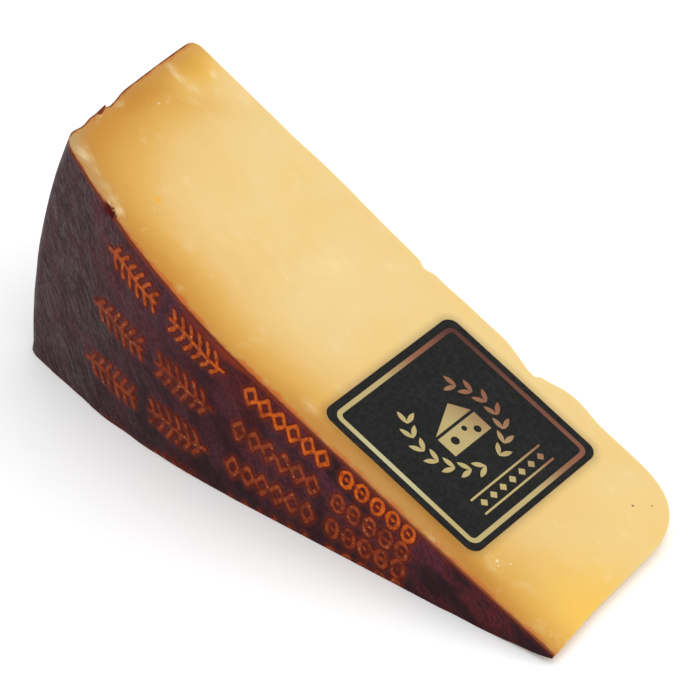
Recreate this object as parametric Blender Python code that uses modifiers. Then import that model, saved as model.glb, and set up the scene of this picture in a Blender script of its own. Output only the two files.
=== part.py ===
# A wedge of hard cheese, cut from one half of a coated wheel and lying on one of its radial cuts,
# with a square label stuck on the other.
#
# Units are metres and +Z is up. +X runs from the wheel's rim to the tip. +Y runs from the wheel's
# coated flat face to the cut at half height. The two radial cuts meet on the wheel's axis, which is
# parallel to Y and lies in the wedge's underside, a little beyond the blunt tip.
# A place on the wedge is given by its radius from that axis, its depth y from the coated face, and
# its turn about the axis, which is 0 on the underside and WEDGE_ANGLE on the upper cut.

import math

import bmesh
import bpy
from mathutils import Matrix, Vector

# The wheel and the wedge
WHEEL_RADIUS = 0.1805
WEDGE_ANGLE = math.radians(22.6)
SLICE_HEIGHT = 0.0623      # coated face to the cut at half height, from the tip to mid length
RIM_EXTRA_HEIGHT = 0.0039  # how much further back that cut lies at the rim
TURN_STEPS = 18

# The coated face: nearly flat, then a long rounded shoulder
FACE_CENTRE = 0.070        # radius where the face stands furthest out
FACE_DOME = 0.0010
SHOULDER_START = 0.106
SHOULDER_END = 0.1735
SHOULDER_DROP = 0.0107
SHOULDER_POWER = 1.9

# The rim, and the rounding of each corner of the section: how far it starts from the corner
RIM_SWELL = 0.0043         # how much the rim bulges from the shoulder to half height
RIM_POWER = 1.4
RIM_CORNER = 0.0020        # how far beyond SHOULDER_END the rim's sharp corner would be
RIM_CORNER_SIZE = 0.0020
BACK_CORNER_SIZE = 0.0034
TIP_CORNER_SIZE = 0.0172
TIP_RADIUS_AT_FACE = 0.0063
TIP_RADIUS_AT_BACK = 0.0108

# The underside rises a little over its last stretch, so that the tip is thin
TIP_LIFT = 0.0017
TIP_LIFT_REACH = 0.024
TIP_LIFT_STEPS = 5

# Unevenness of the cut at half height: (radius, height out of the cut, reach to the rim side,
# reach to the tip side), strongest at the upper edge
BACK_MARKS = (
    (0.0490, 0.0013, 0.0085, 0.0100),
    (0.0598, -0.0013, 0.0140, 0.0016),
    (0.0598, -0.0012, 0.0110, 0.0075),
    (0.0976, -0.0010, 0.0030, 0.0030),
    (0.1300, 0.0005, 0.0160, 0.0160),
)
MARKS_AT_UNDERSIDE = 0.35  # how much of each mark is left at the lower edge
MARKS_REACH_IN = 0.012     # how far in from that cut a mark still shows

# How far apart the points of the section lie, and the steps of its rounded corners
FACE_SPACING = 0.0065
SHOULDER_SPACING = 0.0040
RIM_SPACING = 0.0035
BACK_SPACING = 0.0013
TIP_SPACING = 0.0045
RIM_CORNER_STEPS = 5
BACK_CORNER_STEPS = 4
TIP_CORNER_STEPS = 9

# Damage along the upper edge of the coating
EDGE_BEVEL = 0.0004
CHIP_RADIUS = 0.1548
CHIP_LENGTH = 0.0050
CHIP_DEPTH = 0.0009
CHIP_REACH_DOWN = 0.0014   # how far the chip goes down the coated face
# Hollows in the rim's edge: (depth y where it begins, where it ends, how deep it goes)
RIM_HOLLOWS = (
    (0.0185, 0.0265, 0.0005),
    (0.0312, 0.0340, 0.0008),
)
HOLLOW_HEIGHT = 0.004
FLAKE_AT = 0.0295          # depth y of the loose flake on the rim's edge
FLAKE_LENGTH = 0.0042
FLAKE_WIDTH = 0.0012
FLAKE_LIFT = 0.0011
FLAKE_INSET = 0.0004       # how far in from the rim the flake's middle lies
FLAKE_LEAN = math.radians(8)
LUMP_SWELL = 0.12          # how uneven the lumps are that cut the hollows and form the flake

# The label
LABEL_WIDTH = 0.0492       # along Y
LABEL_LENGTH = 0.0488      # along the radius
LABEL_CORNER = 0.0030
LABEL_CORNER_STEPS = 8
LABEL_THICKNESS = 0.0003
LABEL_GAP = 0.0003
LABEL_RADIUS = 0.0600      # radius of its middle
LABEL_DEPTH = 0.0311       # depth y of its middle

PASTE_COLOUR = (0.86, 0.60, 0.24, 1.0)
LABEL_COLOUR = (0.012, 0.011, 0.010, 1.0)

PASTE_ROUGHNESS = 0.42
LABEL_ROUGHNESS = 0.35

BEVEL_ANGLE = math.radians(50)  # only edges sharper than this are softened


def clearScene():
    for thing in list(bpy.data.objects):
        bpy.data.objects.remove(thing, do_unlink=True)


def newCollection(name):
    group = bpy.data.collections.new(name)
    bpy.context.scene.collection.children.link(group)
    return group


def newMaterial(name, colour, roughness):
    material = bpy.data.materials.new(name)
    material.use_nodes = True
    shader = material.node_tree.nodes["Principled BSDF"]
    shader.inputs["Base Color"].default_value = colour
    shader.inputs["Roughness"].default_value = roughness
    shader.inputs["Metallic"].default_value = 0.0
    return material


def objectFrom(bm, name, group, material=None):
    bmesh.ops.recalc_face_normals(bm, faces=bm.faces)
    mesh = bpy.data.meshes.new(name)
    bm.to_mesh(mesh)
    bm.free()
    made = bpy.data.objects.new(name, mesh)
    group.objects.link(made)
    if material:
        mesh.materials.append(material)
    return made


def smoothStep(value):
    value = min(1.0, max(0.0, value))
    return value * value * (3.0 - 2.0 * value)


def faceDepth(radius):
    # The coated face's depth y, from its gentle dome and its shoulder
    dome = FACE_DOME * ((radius - FACE_CENTRE) / FACE_CENTRE) ** 2
    along = max(0.0, (radius - SHOULDER_START) / (SHOULDER_END - SHOULDER_START))
    return dome + SHOULDER_DROP * along ** SHOULDER_POWER


def rimRadius(y):
    corner = faceDepth(SHOULDER_END)
    along = (y - corner) / (SLICE_HEIGHT + RIM_EXTRA_HEIGHT - corner)
    return WHEEL_RADIUS - RIM_SWELL * (1.0 - min(1.0, along)) ** RIM_POWER


def backDepth(radius):
    # The cut at half height without its marks: straight, then leaning back towards the rim
    middle = WHEEL_RADIUS / 2
    lean = max(0.0, (radius - middle) / (WHEEL_RADIUS - middle))
    return SLICE_HEIGHT + RIM_EXTRA_HEIGHT * lean


def backMark(radius):
    # A mark rises and fades smoothly on both sides of its middle
    total = 0.0
    for centre, height, rimReach, tipReach in BACK_MARKS:
        reach = rimReach if radius > centre else tipReach
        total += height * smoothStep(1.0 - abs(radius - centre) / reach)
    return total


def tipRadius(y):
    return TIP_RADIUS_AT_FACE + (TIP_RADIUS_AT_BACK - TIP_RADIUS_AT_FACE) * y / SLICE_HEIGHT


def spread(start, end, spacing):
    # Values from start to end, about this far apart
    count = max(1, round(abs(end - start) / spacing))
    return [start + (end - start) * i / count for i in range(count + 1)]


def rounding(start, corner, end, steps):
    # The points between two ends of a rounded corner, without the ends
    points = []
    for i in range(1, steps):
        t = i / steps
        points.append(start * (1 - t) ** 2 + corner * 2 * t * (1 - t) + end * t ** 2)
    return points


def wedgeSection():
    # The closed outline of the upper cut, as (radius, y), starting at the tip on the coated face
    rimCorner = Vector((SHOULDER_END + RIM_CORNER, faceDepth(SHOULDER_END + RIM_CORNER)))
    shoulderStop = rimCorner.x - RIM_CORNER_SIZE
    rimStart = rimCorner.y + RIM_CORNER_SIZE
    backCorner = Vector((WHEEL_RADIUS, backDepth(WHEEL_RADIUS)))
    rimStop = backCorner.y - BACK_CORNER_SIZE
    backStart = backCorner.x - BACK_CORNER_SIZE
    tipCorner = Vector((tipRadius(SLICE_HEIGHT), SLICE_HEIGHT))
    backStop = tipCorner.x + TIP_CORNER_SIZE
    tipStart = tipCorner.y - TIP_CORNER_SIZE
    tipAtFace = faceDepth(TIP_RADIUS_AT_FACE)

    onFace = spread(TIP_RADIUS_AT_FACE, SHOULDER_START, FACE_SPACING)
    onFace += spread(SHOULDER_START, shoulderStop, SHOULDER_SPACING)[1:]
    face = [Vector((radius, faceDepth(radius))) for radius in onFace]
    rim = [Vector((rimRadius(y), y)) for y in spread(rimStart, rimStop, RIM_SPACING)]
    back = [Vector((radius, backDepth(radius))) for radius in spread(backStart, backStop, BACK_SPACING)]
    tip = [Vector((tipRadius(y), y)) for y in spread(tipStart, tipAtFace, TIP_SPACING)][:-1]

    outline = face + rounding(face[-1], rimCorner, rim[0], RIM_CORNER_STEPS)
    outline += rim + rounding(rim[-1], backCorner, back[0], BACK_CORNER_STEPS)
    outline += back + rounding(back[-1], tipCorner, tip[0], TIP_CORNER_STEPS)
    return outline + tip


def onAxis(radius, y, turn):
    # A place on the wedge as a point, with the wheel's axis through the origin
    return Vector((-radius * math.cos(turn), y, radius * math.sin(turn)))


def buildWedge(group, material):
    bm = bmesh.new()
    corners = [bm.verts.new(onAxis(point.x, point.y, 0.0)) for point in wedgeSection()]
    bm.faces.new(corners)
    # Lines across the section near the tip let the underside bend there
    for i in range(TIP_LIFT_STEPS):
        across = TIP_RADIUS_AT_BACK + TIP_LIFT_REACH * (i + 0.5) / TIP_LIFT_STEPS
        bmesh.ops.bisect_plane(
            bm,
            geom=[*bm.verts, *bm.edges, *bm.faces],
            plane_co=onAxis(across, 0.0, 0.0),
            plane_no=(1, 0, 0),
        )
    bmesh.ops.spin(
        bm,
        geom=list(bm.faces),
        cent=(0, 0, 0),
        axis=(0, 1, 0),
        angle=WEDGE_ANGLE,
        steps=TURN_STEPS,
        use_duplicate=False,
    )
    for vert in bm.verts:
        radius = math.hypot(vert.co.x, vert.co.z)
        turn = math.atan2(vert.co.z, -vert.co.x)
        # The marks belong to the back cut, so they fade out with depth from it
        nearBack = smoothStep(1.0 - (backDepth(radius) - vert.co.y) / MARKS_REACH_IN)
        strength = MARKS_AT_UNDERSIDE + (1 - MARKS_AT_UNDERSIDE) * turn / WEDGE_ANGLE
        vert.co.y += backMark(radius) * nearBack * strength
        rise = max(0.0, 1.0 - (radius - tipRadius(vert.co.y)) / TIP_LIFT_REACH)
        vert.co.z += TIP_LIFT * rise ** 2 * (1.0 - turn / WEDGE_ANGLE)
    wedge = objectFrom(bm, "cheese_wedge", group, material)

    bevel = wedge.modifiers.new("soft edges", "BEVEL")
    bevel.width = EDGE_BEVEL
    bevel.segments = 2
    bevel.limit_method = "ANGLE"
    bevel.angle_limit = BEVEL_ANGLE
    return wedge


def placeOnCut(thing, radius, y, lift=0.0, lean=0.0):
    # Stands an object on the upper cut: its X along the radius to the tip, its Z out of the cut
    turned = Matrix.Rotation(WEDGE_ANGLE, 4, "Y")
    outward = Vector((math.sin(WEDGE_ANGLE), 0.0, math.cos(WEDGE_ANGLE)))
    place = onAxis(radius, y, WEDGE_ANGLE) + outward * lift
    thing.matrix_world = Matrix.Translation(place) @ turned @ Matrix.Rotation(lean, 4, "Z")


def buildLump(name, group, size):
    # An uneven lump for cutting or adding, its three radii in metres
    bm = bmesh.new()
    bmesh.ops.create_icosphere(bm, subdivisions=2, radius=1.0)
    for vert in bm.verts:
        swell = 1.0 + LUMP_SWELL * math.sin(5.0 * vert.co.x + 2.0 * vert.co.y)
        vert.co = Vector((vert.co.x * size[0], vert.co.y * size[1], vert.co.z * size[2])) * swell
    return objectFrom(bm, name, group)


def addBoolean(target, other, operation):
    other.hide_render = True
    other.display_type = "WIRE"
    cut = target.modifiers.new(other.name, "BOOLEAN")
    cut.operation = operation
    cut.solver = "EXACT"
    cut.object = other


def addDamage(wedge, group):
    # A bite out of the coating's edge, partway down the shoulder
    chip = buildLump("coating_chip", group, (CHIP_LENGTH / 2, CHIP_DEPTH, CHIP_REACH_DOWN))
    slope = math.atan2(faceDepth(CHIP_RADIUS + 0.001) - faceDepth(CHIP_RADIUS), 0.001)
    placeOnCut(chip, CHIP_RADIUS, faceDepth(CHIP_RADIUS), lean=-slope)
    addBoolean(wedge, chip, "DIFFERENCE")

    # Hollows where bits of coating have come off the rim's upper edge, on both sides of the flake
    for start, end, depth in RIM_HOLLOWS:
        middle, length = (start + end) / 2, end - start
        hollow = buildLump("rim_hollow", group, (HOLLOW_HEIGHT / 2, length / 2, HOLLOW_HEIGHT / 2))
        placeOnCut(hollow, rimRadius(middle) - depth + HOLLOW_HEIGHT / 2, middle)
        addBoolean(wedge, hollow, "DIFFERENCE")

    # A flake of coating that lifts off the rim's upper edge
    flake = buildLump("rim_flake", group, (FLAKE_WIDTH / 2, FLAKE_LENGTH / 2, FLAKE_LIFT))
    placeOnCut(flake, rimRadius(FLAKE_AT) - FLAKE_INSET, FLAKE_AT, lean=FLAKE_LEAN)
    addBoolean(wedge, flake, "UNION")


def buildLabel(group, material):
    bm = bmesh.new()
    bmesh.ops.create_cube(bm, size=1.0)
    sides = [edge for edge in bm.edges if abs(edge.verts[0].co.z - edge.verts[1].co.z) > 0.5]
    bmesh.ops.scale(bm, vec=(LABEL_LENGTH, LABEL_WIDTH, LABEL_THICKNESS), verts=bm.verts)
    bmesh.ops.bevel(
        bm,
        geom=sides,
        offset=LABEL_CORNER,
        offset_type="OFFSET",
        segments=LABEL_CORNER_STEPS,
        profile=0.5,
        affect="EDGES",
    )
    label = objectFrom(bm, "label", group, material)
    placeOnCut(label, LABEL_RADIUS, LABEL_DEPTH, LABEL_GAP + LABEL_THICKNESS / 2)
    return label


def boxOf(thing):
    solid = thing.evaluated_get(bpy.context.evaluated_depsgraph_get())
    points = [thing.matrix_world @ vert.co for vert in solid.data.vertices]
    lowest = Vector([min(p[i] for p in points) for i in range(3)])
    highest = Vector([max(p[i] for p in points) for i in range(3)])
    return lowest, highest


def standOnOrigin(things, wedge):
    # Puts the middle of the wedge's underside box at the origin
    bpy.context.view_layer.update()
    lowest, highest = boxOf(wedge)
    middle = (lowest + highest) / 2
    shift = Matrix.Translation((-middle.x, -middle.y, -lowest.z))
    for thing in things:
        thing.matrix_world = shift @ thing.matrix_world


def main():
    clearScene()
    parts = newCollection("cheese_wedge_with_label")
    helpers = newCollection("cutters")
    paste = newMaterial("cheese paste", PASTE_COLOUR, PASTE_ROUGHNESS)
    paper = newMaterial("label paper", LABEL_COLOUR, LABEL_ROUGHNESS)
    wedge = buildWedge(parts, paste)
    addDamage(wedge, helpers)
    label = buildLabel(parts, paper)
    standOnOrigin([wedge, label, *helpers.objects], wedge)


main()
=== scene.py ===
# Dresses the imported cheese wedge: a finely modelled wedge with its paste and its dark coating,
# a loose flake at the rim, and the label with its gold foil. Lengths are metres unless a note says mm.
import math

import bmesh
import bpy
import numpy as np
from mathutils import Matrix, Vector, noise


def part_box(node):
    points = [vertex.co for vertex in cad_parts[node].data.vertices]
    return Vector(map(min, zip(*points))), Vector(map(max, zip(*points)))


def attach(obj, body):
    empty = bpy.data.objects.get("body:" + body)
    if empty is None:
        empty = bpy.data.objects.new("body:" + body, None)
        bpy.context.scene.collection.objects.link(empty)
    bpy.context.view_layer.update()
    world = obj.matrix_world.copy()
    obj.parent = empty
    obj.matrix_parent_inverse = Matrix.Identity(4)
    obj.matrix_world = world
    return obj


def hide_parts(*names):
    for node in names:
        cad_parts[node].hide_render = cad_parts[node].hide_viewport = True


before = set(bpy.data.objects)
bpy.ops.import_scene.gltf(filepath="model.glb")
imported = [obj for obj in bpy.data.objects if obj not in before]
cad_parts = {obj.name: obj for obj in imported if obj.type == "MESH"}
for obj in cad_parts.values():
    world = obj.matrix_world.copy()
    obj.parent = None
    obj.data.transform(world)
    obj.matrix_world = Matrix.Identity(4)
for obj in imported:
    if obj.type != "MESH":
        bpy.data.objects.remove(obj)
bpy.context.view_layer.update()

mm = 0.001


# The form of the wheel, with the CAD part's numbers except for the three that are marked

wheel = {
    "axis": (0.093217, -0.033026, 0.0),  # where the wheel's axis meets the coated face
    "radius": 0.1805,
    "angle": math.radians(22.6),
    "sliceHeight": 0.0623,
    "rimExtraHeight": 0.0039,
    "faceCentre": 0.070,
    "faceDome": 0.0010,
    "shoulderStart": 0.106,
    "shoulderEnd": 0.1735,
    "shoulderDrop": 0.0107,
    "shoulderPower": 1.9,
    "rimSwell": 0.0043,
    "rimPower": 1.4,
    "rimCorner": 0.0020,
    "rimCornerSize": 0.0034,   # a little rounder than in the CAD part
    "backCornerSize": 0.0034,
    "tipCornerSize": 0.0172,
    "tipRadiusAtFace": 0.0063,
    "tipRadiusAtBack": 0.0108,
    "tipHollow": 0.0005,       # how hollow the tip's end is, which is straight in the CAD part
    "tipHollowEnd": 0.044,     # the depth y where the hollow ends
    "tipLift": 0.0017,
    "tipLiftReach": 0.024,
    # radius, height, reach to the rim side, reach to the tip side
    "backMarks": (
        (0.0490, 0.0013, 0.0085, 0.0100),
        (0.0598, -0.0013, 0.0140, 0.0016),
        (0.0598, -0.0012, 0.0110, 0.0075),
        (0.0976, -0.0010, 0.0030, 0.0030),
        (0.1300, 0.0005, 0.0160, 0.0160),
    ),
    "marksReach": 0.012,       # how far in from the back cut the marks fade out
    "marksAtUnderside": 0.35,  # how strong they still are at the lower cut
}


def smoothStep(value):
    value = np.clip(value, 0.0, 1.0)
    return value * value * (3.0 - 2.0 * value)


def faceDepth(radius):
    dome = wheel["faceDome"] * ((radius - wheel["faceCentre"]) / wheel["faceCentre"]) ** 2
    length = wheel["shoulderEnd"] - wheel["shoulderStart"]
    along = np.maximum(0.0, (radius - wheel["shoulderStart"]) / length)
    return dome + wheel["shoulderDrop"] * along ** wheel["shoulderPower"]


def rimRadius(y):
    corner = faceDepth(wheel["shoulderEnd"])
    along = (y - corner) / (wheel["sliceHeight"] + wheel["rimExtraHeight"] - corner)
    left = 1.0 - np.clip(along, 0.0, 1.0)
    return wheel["radius"] - wheel["rimSwell"] * left ** wheel["rimPower"]


def backDepth(radius):
    middle = wheel["radius"] / 2
    lean = np.maximum(0.0, (radius - middle) / (wheel["radius"] - middle))
    return wheel["sliceHeight"] + wheel["rimExtraHeight"] * lean


def backMark(radius):
    total = np.zeros_like(radius)
    for centre, height, rimReach, tipReach in wheel["backMarks"]:
        reach = np.where(radius > centre, rimReach, tipReach)
        total = total + height * smoothStep(1.0 - np.abs(radius - centre) / reach)
    return total


def tipRadius(y):
    slope = (wheel["tipRadiusAtBack"] - wheel["tipRadiusAtFace"]) / wheel["sliceHeight"]
    hollow = np.sin(math.pi * np.clip(y / wheel["tipHollowEnd"], 0.0, 1.0)) ** 2
    return wheel["tipRadiusAtFace"] + slope * y + wheel["tipHollow"] * hollow


def onAxis(radius, y, turn):
    # places on the wedge as points in the part's frame
    points = np.stack([-radius * np.cos(turn), y, radius * np.sin(turn)], -1)
    return points + np.array(wheel["axis"])


def rounding(start, corner, end, first, last):
    # a stretch of a rounded corner, from first to last in 0..1
    t = np.linspace(first, last, 24)[:, None]
    return start * (1 - t) ** 2 + corner * 2 * t * (1 - t) + end * t ** 2


def sectionSides():
    # the four sides of the wedge's section as (radius, y) lines, each from its tip or face end
    cornerAt = wheel["shoulderEnd"] + wheel["rimCorner"]
    rimCorner = np.array([cornerAt, faceDepth(cornerAt)])
    backCorner = np.array([wheel["radius"], backDepth(wheel["radius"])])
    tipCorner = np.array([tipRadius(wheel["sliceHeight"]), wheel["sliceHeight"]])

    r = np.linspace(wheel["tipRadiusAtFace"], rimCorner[0] - wheel["rimCornerSize"], 400)
    face = np.column_stack([r, faceDepth(r)])
    rimStop = backCorner[1] - wheel["backCornerSize"]
    y = np.linspace(rimCorner[1] + wheel["rimCornerSize"], rimStop, 200)
    rim = np.column_stack([rimRadius(y), y])
    backStop = tipCorner[0] + wheel["tipCornerSize"]
    r = np.linspace(backCorner[0] - wheel["backCornerSize"], backStop, 400)
    back = np.column_stack([r, backDepth(r)])
    y = np.linspace(tipCorner[1] - wheel["tipCornerSize"], face[0, 1], 100)
    tip = np.column_stack([tipRadius(y), y])

    corners = ((face, rimCorner, rim), (rim, backCorner, back), (back, tipCorner, tip))
    firstHalves = [rounding(a[-1], c, b[0], 0.0, 0.5) for a, c, b in corners]
    lastHalves = [rounding(a[-1], c, b[0], 0.5, 1.0) for a, c, b in corners]
    faceSide = np.concatenate([face, firstHalves[0]])
    rimSide = np.concatenate([lastHalves[0], rim, firstHalves[1]])
    backSide = np.concatenate([lastHalves[1], back, firstHalves[2]])[::-1]
    tipSide = np.concatenate([lastHalves[2], tip])[::-1]
    return faceSide, rimSide, backSide, tipSide


def along(side, fractions):
    # points at these fractions of a line's length
    steps = np.hypot(*np.diff(side, axis=0).T)
    length = np.concatenate([[0.0], np.cumsum(steps)])
    at = fractions * length[-1]
    return np.column_stack([np.interp(at, length, side[:, i]) for i in (0, 1)])


def inSection(u, v, sides):
    # fills the section between its four sides
    face, rim, back, tip = sides
    u1, v1 = u[:, None], v[:, None]
    across = (1 - v1) * along(face, u) + v1 * along(back, u)
    upward = (1 - u1) * along(tip, v) + u1 * along(rim, v)
    near = (1 - u1) * face[0] + u1 * face[-1]
    far = (1 - u1) * back[0] + u1 * back[-1]
    return across + upward - (1 - v1) * near - v1 * far


# The wedge's mesh

wedgeLook = {
    "cells": (170, 58, 64),    # along the radius, the depth and the turn
    "endCell": 0.45,           # how much narrower the outermost cells are
    "edgeBevel": 0.00035,
    "waveSize": 0.013,
    "wave": 0.10 * mm,
    "rippleSize": 0.0035,
    "coatingRipple": 0.035 * mm,
    "pasteRipple": 0.02 * mm,
    "stampDepth": 0.28 * mm,
    # wear along the coating's lower edge: its depth, how high it reaches, how long its waves are
    "lowerEdgeWear": 0.7 * mm,
    "wearReach": 0.004,
    "wearLength": 0.011,
    "chip": {"radius": 0.1548, "length": 0.0050, "depth": 0.0009, "ragged": 0.30, "raggedSize": 0.0011},
    # uneven places in the rim's upper edge: depth y, hollow, and its reach to both sides
    "rimHollows": (
        (0.0210, 0.5 * mm, 0.0040, 0.0040),
        (0.0265, 0.2 * mm, 0.0030, 0.0030),
        (0.0308, 0.9 * mm, 0.0010, 0.0085),
    ),
    "rimHollowReach": 0.006,   # from the upper cut downwards
    "rimHollowDepth": 0.004,   # from the rim inwards
}


def unevenSteps(count):
    # from 0 to 1, with narrower cells at both ends so that the edges shade crisply
    widths = np.ones(count)
    widths[[0, -1]] = wedgeLook["endCell"]
    return np.concatenate([[0.0], np.cumsum(widths)]) / widths.sum()


def gridQuads(index):
    corners = (index[:-1, :-1], index[:-1, 1:], index[1:, 1:], index[1:, :-1])
    return np.stack(corners, -1).reshape(-1, 4)


def blockGrid(us, vs, ws):
    # the surface of a block of cells, as points in (u, v, w) and quads
    shape = (len(us), len(vs), len(ws))
    i, j, k = np.indices(shape)
    ends = [(a == 0) | (a == n - 1) for a, n in zip((i, j, k), shape)]
    surface = ends[0] | ends[1] | ends[2]
    index = np.full(shape, -1)
    index[surface] = np.arange(surface.sum())
    points = np.column_stack([us[i[surface]], vs[j[surface]], ws[k[surface]]])
    sides = (index[0], index[-1], index[:, 0], index[:, -1], index[:, :, 0], index[:, :, -1])
    return points, np.concatenate([gridQuads(side) for side in sides])


def vectorsOf(items, name):
    vectors = np.empty(len(items) * 3, np.float32)
    items.foreach_get(name, vectors)
    return vectors.reshape(-1, 3).astype(float)


def frameAt(place, right, up):
    # a frame with its X and Y along two directions
    right, up = Vector(right).normalized(), Vector(up).normalized()
    turned = Matrix((right, up, right.cross(up))).transposed().to_4x4()
    return Matrix.Translation(place) @ turned


def setPoints(mesh, points):
    mesh.vertices.foreach_set("co", np.asarray(points, np.float32).ravel())
    mesh.update()


def newObject(name, mesh):
    made = bpy.data.objects.new(name, mesh)
    bpy.context.scene.collection.objects.link(made)
    return made


def evaluatedMesh(thing):
    graph = bpy.context.evaluated_depsgraph_get()
    return bpy.data.meshes.new_from_object(thing.evaluated_get(graph))


def applyModifiers(thing):
    # swaps the object's mesh for the one that its modifiers make
    done = evaluatedMesh(thing)
    thing.modifiers.clear()
    thing.data = done


def softenEdges(thing, width):
    soft = thing.modifiers.new("soft edges", "BEVEL")
    soft.width = width
    soft.segments = 2
    soft.limit_method = "ANGLE"
    soft.angle_limit = math.radians(50)
    applyModifiers(thing)


def closeMesh(mesh):
    # welds its points and turns its faces outwards
    bm = bmesh.new()
    bm.from_mesh(mesh)
    bmesh.ops.remove_doubles(bm, verts=bm.verts, dist=1e-6)
    bmesh.ops.recalc_face_normals(bm, faces=bm.faces)
    bm.to_mesh(mesh)
    bm.free()


def placesOf(points):
    # radius, turn and depth y of points in the part's frame
    x, y, z = (points - np.array(wheel["axis"])).T
    return np.hypot(x, z), np.arctan2(z, -x), y


def noiseAt(points, size, seed):
    shift = Vector((seed, 1.7 * seed, -0.6 * seed))
    return np.array([noise.fractal(Vector(p) / size + shift, 0.9, 2.0, 2) for p in points])


def toRounded(first, second, size):
    # how far a place lies from two sides with a rounded corner, given how far it lies from each
    apart = first - second
    inside = 2 * size * (first + second) - apart ** 2 - size ** 2
    toCurve = inside / np.sqrt(8 * (size ** 2 + apart ** 2))
    return np.where(np.abs(apart) < size, toCurve, np.minimum(first, second))


def distances(radius, turn, y):
    # how far a place lies from the rind, the nearer radial cut, the back cut and the tip
    slope = (faceDepth(radius + mm) - faceDepth(radius - mm)) / (2 * mm)
    toFace = (y - faceDepth(radius)) / np.sqrt(1 + slope ** 2)
    toRim = rimRadius(y) - radius
    toRind = toRounded(toFace, toRim, wheel["rimCornerSize"])
    toCut = radius * np.sin(np.minimum(turn, wheel["angle"] - turn))
    toBack = backDepth(radius) - y
    toTip = radius - tipRadius(y)
    return toRind, toCut, toBack, toTip


def buildWedgeMesh():
    places, quads = blockGrid(*map(unevenSteps, wedgeLook["cells"]))
    mesh = bpy.data.meshes.new("wedge")
    mesh.from_pydata(places.tolist(), [], quads.tolist())

    # the coated face gets cells of half the size, for its stamped marks
    bm = bmesh.new()
    bm.from_mesh(mesh)
    onFace = [edge for edge in bm.edges if max(v.co.y for v in edge.verts) < 1e-6]
    bmesh.ops.subdivide_edges(bm, edges=onFace, cuts=1, use_grid_fill=True)
    bmesh.ops.recalc_face_normals(bm, faces=bm.faces)
    bm.to_mesh(mesh)
    bm.free()

    # from cell numbers to the wedge's form
    u, v, w = vectorsOf(mesh.vertices, "co").T
    radius, y = inSection(u, v, sectionSides()).T
    turn = w * wheel["angle"]
    nearBack = smoothStep((y - backDepth(radius)) / wheel["marksReach"] + 1.0)
    below = wheel["marksAtUnderside"]
    y = y + backMark(radius) * nearBack * (below + (1 - below) * w)
    points = onAxis(radius, y, turn)
    rise = np.maximum(0.0, 1.0 - (radius - tipRadius(y)) / wheel["tipLiftReach"])
    points[:, 2] += wheel["tipLift"] * rise ** 2 * (1 - w)
    setPoints(mesh, points)

    wedge = newObject("cheese_wedge_dressed", mesh)
    softenEdges(wedge, wedgeLook["edgeBevel"])
    return wedge


# The marks stamped into the coating

stampLook = {
    "rows": (3.1, 10.2, 17.1, 24.1),   # degrees below the upper cut
    "startRadius": 150.0,      # mm
    # where each group starts, its length and height (mm), and how many marks it has
    "rimSprig": (0.0, 18.0, 3.5),
    "tipSprig": (23.5, 18.5, 3.9),
    "lozenges": (48.5, 27.0, 2.8, 6),
    "rings": (78.5, 24.0, 2.5, 5),
    "halfStroke": 0.64,        # mm
    "farthest": 3.0,           # mm, where the distance field stops growing
    "rowHalf": 7.5,            # mm, how far a row reaches to both sides of its middle
}


def sprig(start, length, height, back):
    # a waving stem with short curved leaves on both sides, in mm; back turns its leaves round
    xs = np.linspace(0, length, 13)
    strokes = [np.column_stack([start + xs, 0.45 * np.sin(xs * 2 * math.pi / length)])]
    lean = -1.0 if back else 1.0
    for x in np.arange(1.6, length - 1.0, 2.9):
        size = height * (0.72 + 0.28 * math.sin(math.pi * x / length))
        for side in (1, -1):
            foot = start + x + (0.7 if side < 0 else 0.0)
            strokes.append(np.array([
                (foot, 0.35 * side),
                (foot + lean * 0.5, 0.55 * size * side),
                (foot + lean * 1.5, size * side),
            ]))
    return strokes


def lozenges(start, length, height, count):
    strokes = []
    pitch = length / count
    for i in range(count):
        x = start + pitch * (i + 0.5)
        half = pitch * 0.42
        strokes.append(np.array([(x - half, 0), (x, height), (x + half, 0), (x, -height), (x - half, 0)]))
    return strokes


def rings(start, length, height, count):
    strokes = []
    pitch = length / count
    angles = np.linspace(0, 2 * math.pi, 15)
    for i in range(count):
        x = start + pitch * (i + 0.5)
        strokes.append(np.column_stack([x + pitch * 0.33 * np.cos(angles), height * np.sin(angles)]))
        strokes.append(np.array([(x - 0.1, 0), (x + 0.1, 0)]))
    return strokes


def stampStrokes():
    # one row of the ornament: x runs to the tip from the start radius, y up to the upper cut
    strokes = sprig(*stampLook["rimSprig"], False) + sprig(*stampLook["tipSprig"], True)
    return strokes + lozenges(*stampLook["lozenges"]) + rings(*stampLook["rings"])


def strokeDistance(x, y, strokes):
    # distance in mm to the nearest stroke's middle line
    farthest = stampLook["farthest"]
    best = np.full(len(x), farthest)
    for stroke in strokes:
        near = (x > stroke[:, 0].min() - farthest) & (x < stroke[:, 0].max() + farthest)
        px, py = x[near], y[near]
        found = best[near]
        for (ax, ay), (bx, by) in zip(stroke[:-1], stroke[1:]):
            dx, dy = bx - ax, by - ay
            t = np.clip(((px - ax) * dx + (py - ay) * dy) / (dx * dx + dy * dy), 0, 1)
            found = np.minimum(found, np.hypot(px - ax - t * dx, py - ay - t * dy))
        best[near] = found
    return best


def stampField(radius, turn):
    # how far each place is from the nearest stroke's edge, in mm, negative inside it
    strokes = stampStrokes()
    best = np.full(len(radius), stampLook["farthest"])
    for degrees in stampLook["rows"]:
        off = turn - wheel["angle"] + math.radians(degrees)
        x = stampLook["startRadius"] - radius * np.cos(off) / mm
        y = radius * np.sin(off) / mm
        near = np.abs(y) < stampLook["rowHalf"]
        best[near] = np.minimum(best[near], strokeDistance(x[near], y[near], strokes))
    return best - stampLook["halfStroke"]


# Relief and the fields that the materials read

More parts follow.
